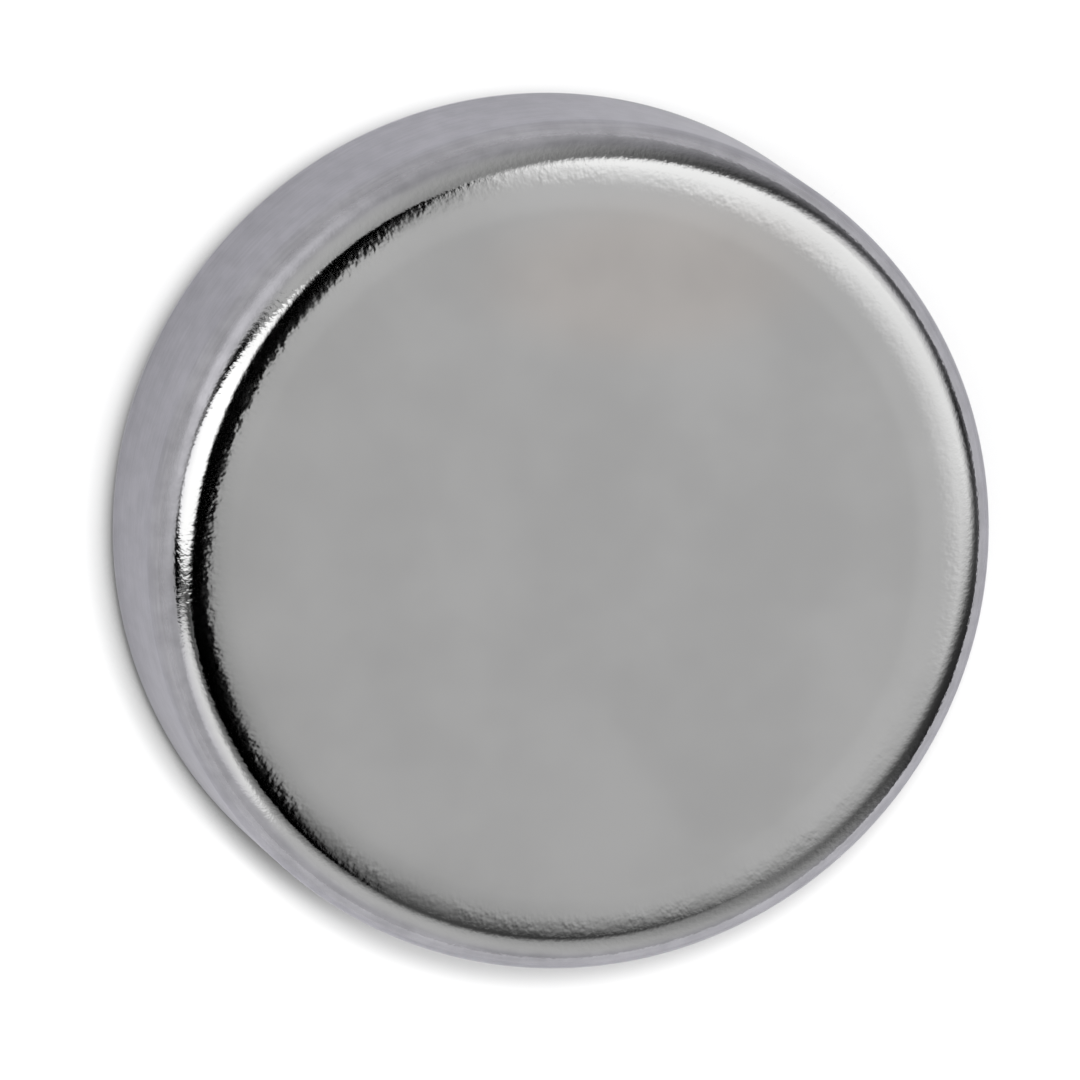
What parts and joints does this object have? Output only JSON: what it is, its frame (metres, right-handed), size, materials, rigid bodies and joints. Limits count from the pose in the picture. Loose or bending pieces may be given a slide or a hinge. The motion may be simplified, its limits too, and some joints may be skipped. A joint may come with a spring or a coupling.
{
  "type": "disc magnet",
  "caption": "Solid nickel-plated disc magnet with flat pole faces, softly rounded edges and a straight side wall.",
  "frame": {"origin": "centre of the lower pole face, on the surface that the disc lies on", "axes": "+Z along the disc's axis and its magnetisation, up through the upper pole face; +X and +Y are any two square directions, because the disc is round"},
  "size_m": [0.01, 0.01, 0.003],
  "materials": {
    "nickel_plating": "satin nickel plating, faintly mottled by tumbling"
  },
  "bodies": {
    "root": {"disc_magnet": "nickel_plating"}
  },
  "joints": []
}
